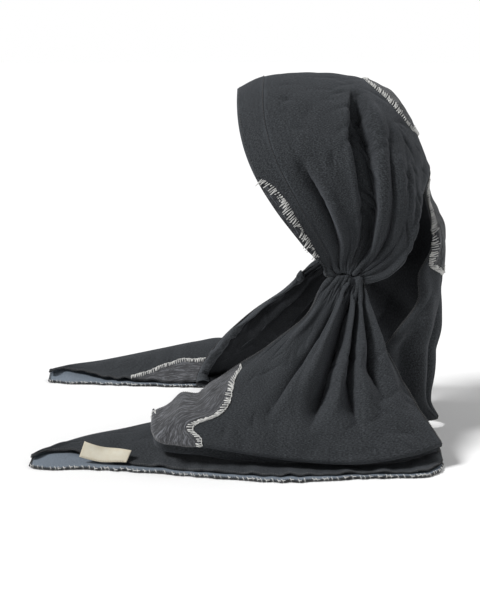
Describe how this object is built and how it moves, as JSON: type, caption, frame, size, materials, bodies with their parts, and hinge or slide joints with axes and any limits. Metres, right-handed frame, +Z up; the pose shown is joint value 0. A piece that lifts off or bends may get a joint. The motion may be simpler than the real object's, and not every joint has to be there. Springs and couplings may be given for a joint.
{
  "type": "pre-tied bandana",
  "caption": "Pre-tied head scarf of black jersey with a stitched face band, a gathered nape, a loose back fall, long side tails and darned patches, shaped as worn.",
  "frame": {"origin": "the point inside the crown that bears on the top of the wearer's head", "axes": "+Z up; the wearer faces -X, so the fall is at +X; the wearer's left side is -Y"},
  "size_m": [0.4247, 0.397, 0.3538],
  "materials": {
    "black_jersey": "matte knit, heathered charcoal black",
    "black_elastic": "matte ruched elastic",
    "darned_patch": "matte woven, with light darning lines",
    "cream_tape": "matte woven tape, blank"
  },
  "bodies": {
    "root": {"front_band": "black_jersey", "crown": "black_jersey", "back_fall": "black_jersey", "left_gather": "black_jersey", "right_gather": "black_jersey", "left_tail": "black_jersey", "right_tail": "black_jersey", "left_tail_end": "black_jersey", "right_tail_end": "black_jersey", "nape_elastic": "black_elastic", "temple_patch": "darned_patch", "crown_top_patch": "darned_patch", "fall_patch": "darned_patch", "left_tail_patch": "darned_patch", "right_tail_patch": "darned_patch", "label": "cream_tape"}
  },
  "joints": []
}
